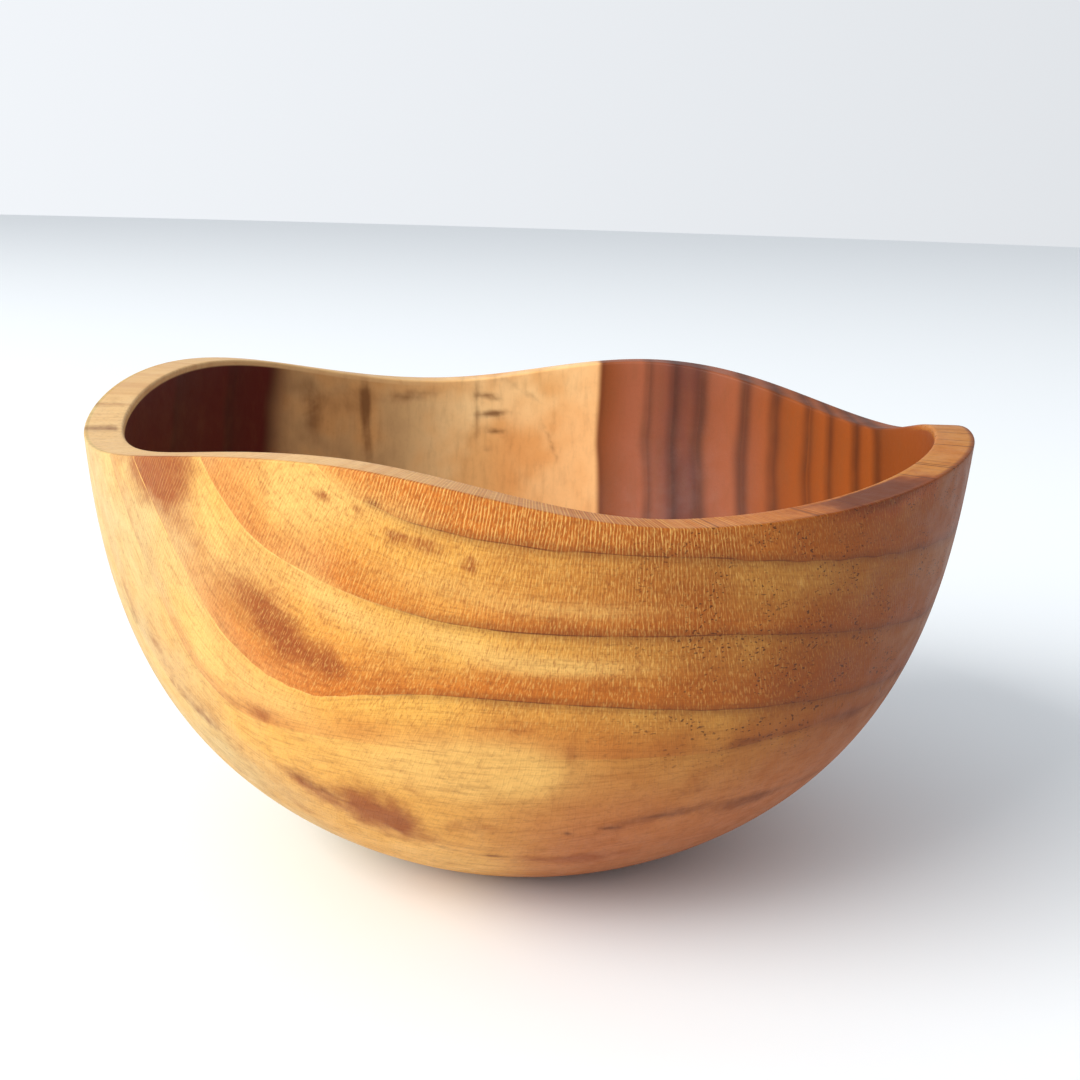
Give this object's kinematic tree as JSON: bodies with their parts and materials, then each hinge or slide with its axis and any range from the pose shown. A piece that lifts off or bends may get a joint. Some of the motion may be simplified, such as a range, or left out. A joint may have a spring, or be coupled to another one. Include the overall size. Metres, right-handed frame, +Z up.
{
  "type": "carved wooden bowl",
  "caption": "Deep round wooden bowl, turned and carved from one block, with a thick flat rim cut in slow waves and a small flat foot.",
  "frame": {"origin": "centre of the flat foot, on the surface that the bowl stands on", "axes": "+Z up out of the bowl's mouth, +X to the bowl's right, -Y to its front, where the rim dips right of centre"},
  "size_m": [0.2004, 0.2001, 0.1061],
  "materials": {
    "wood": "oiled satin, open grain"
  },
  "bodies": {
    "root": {"bowl": "wood"}
  },
  "joints": []
}
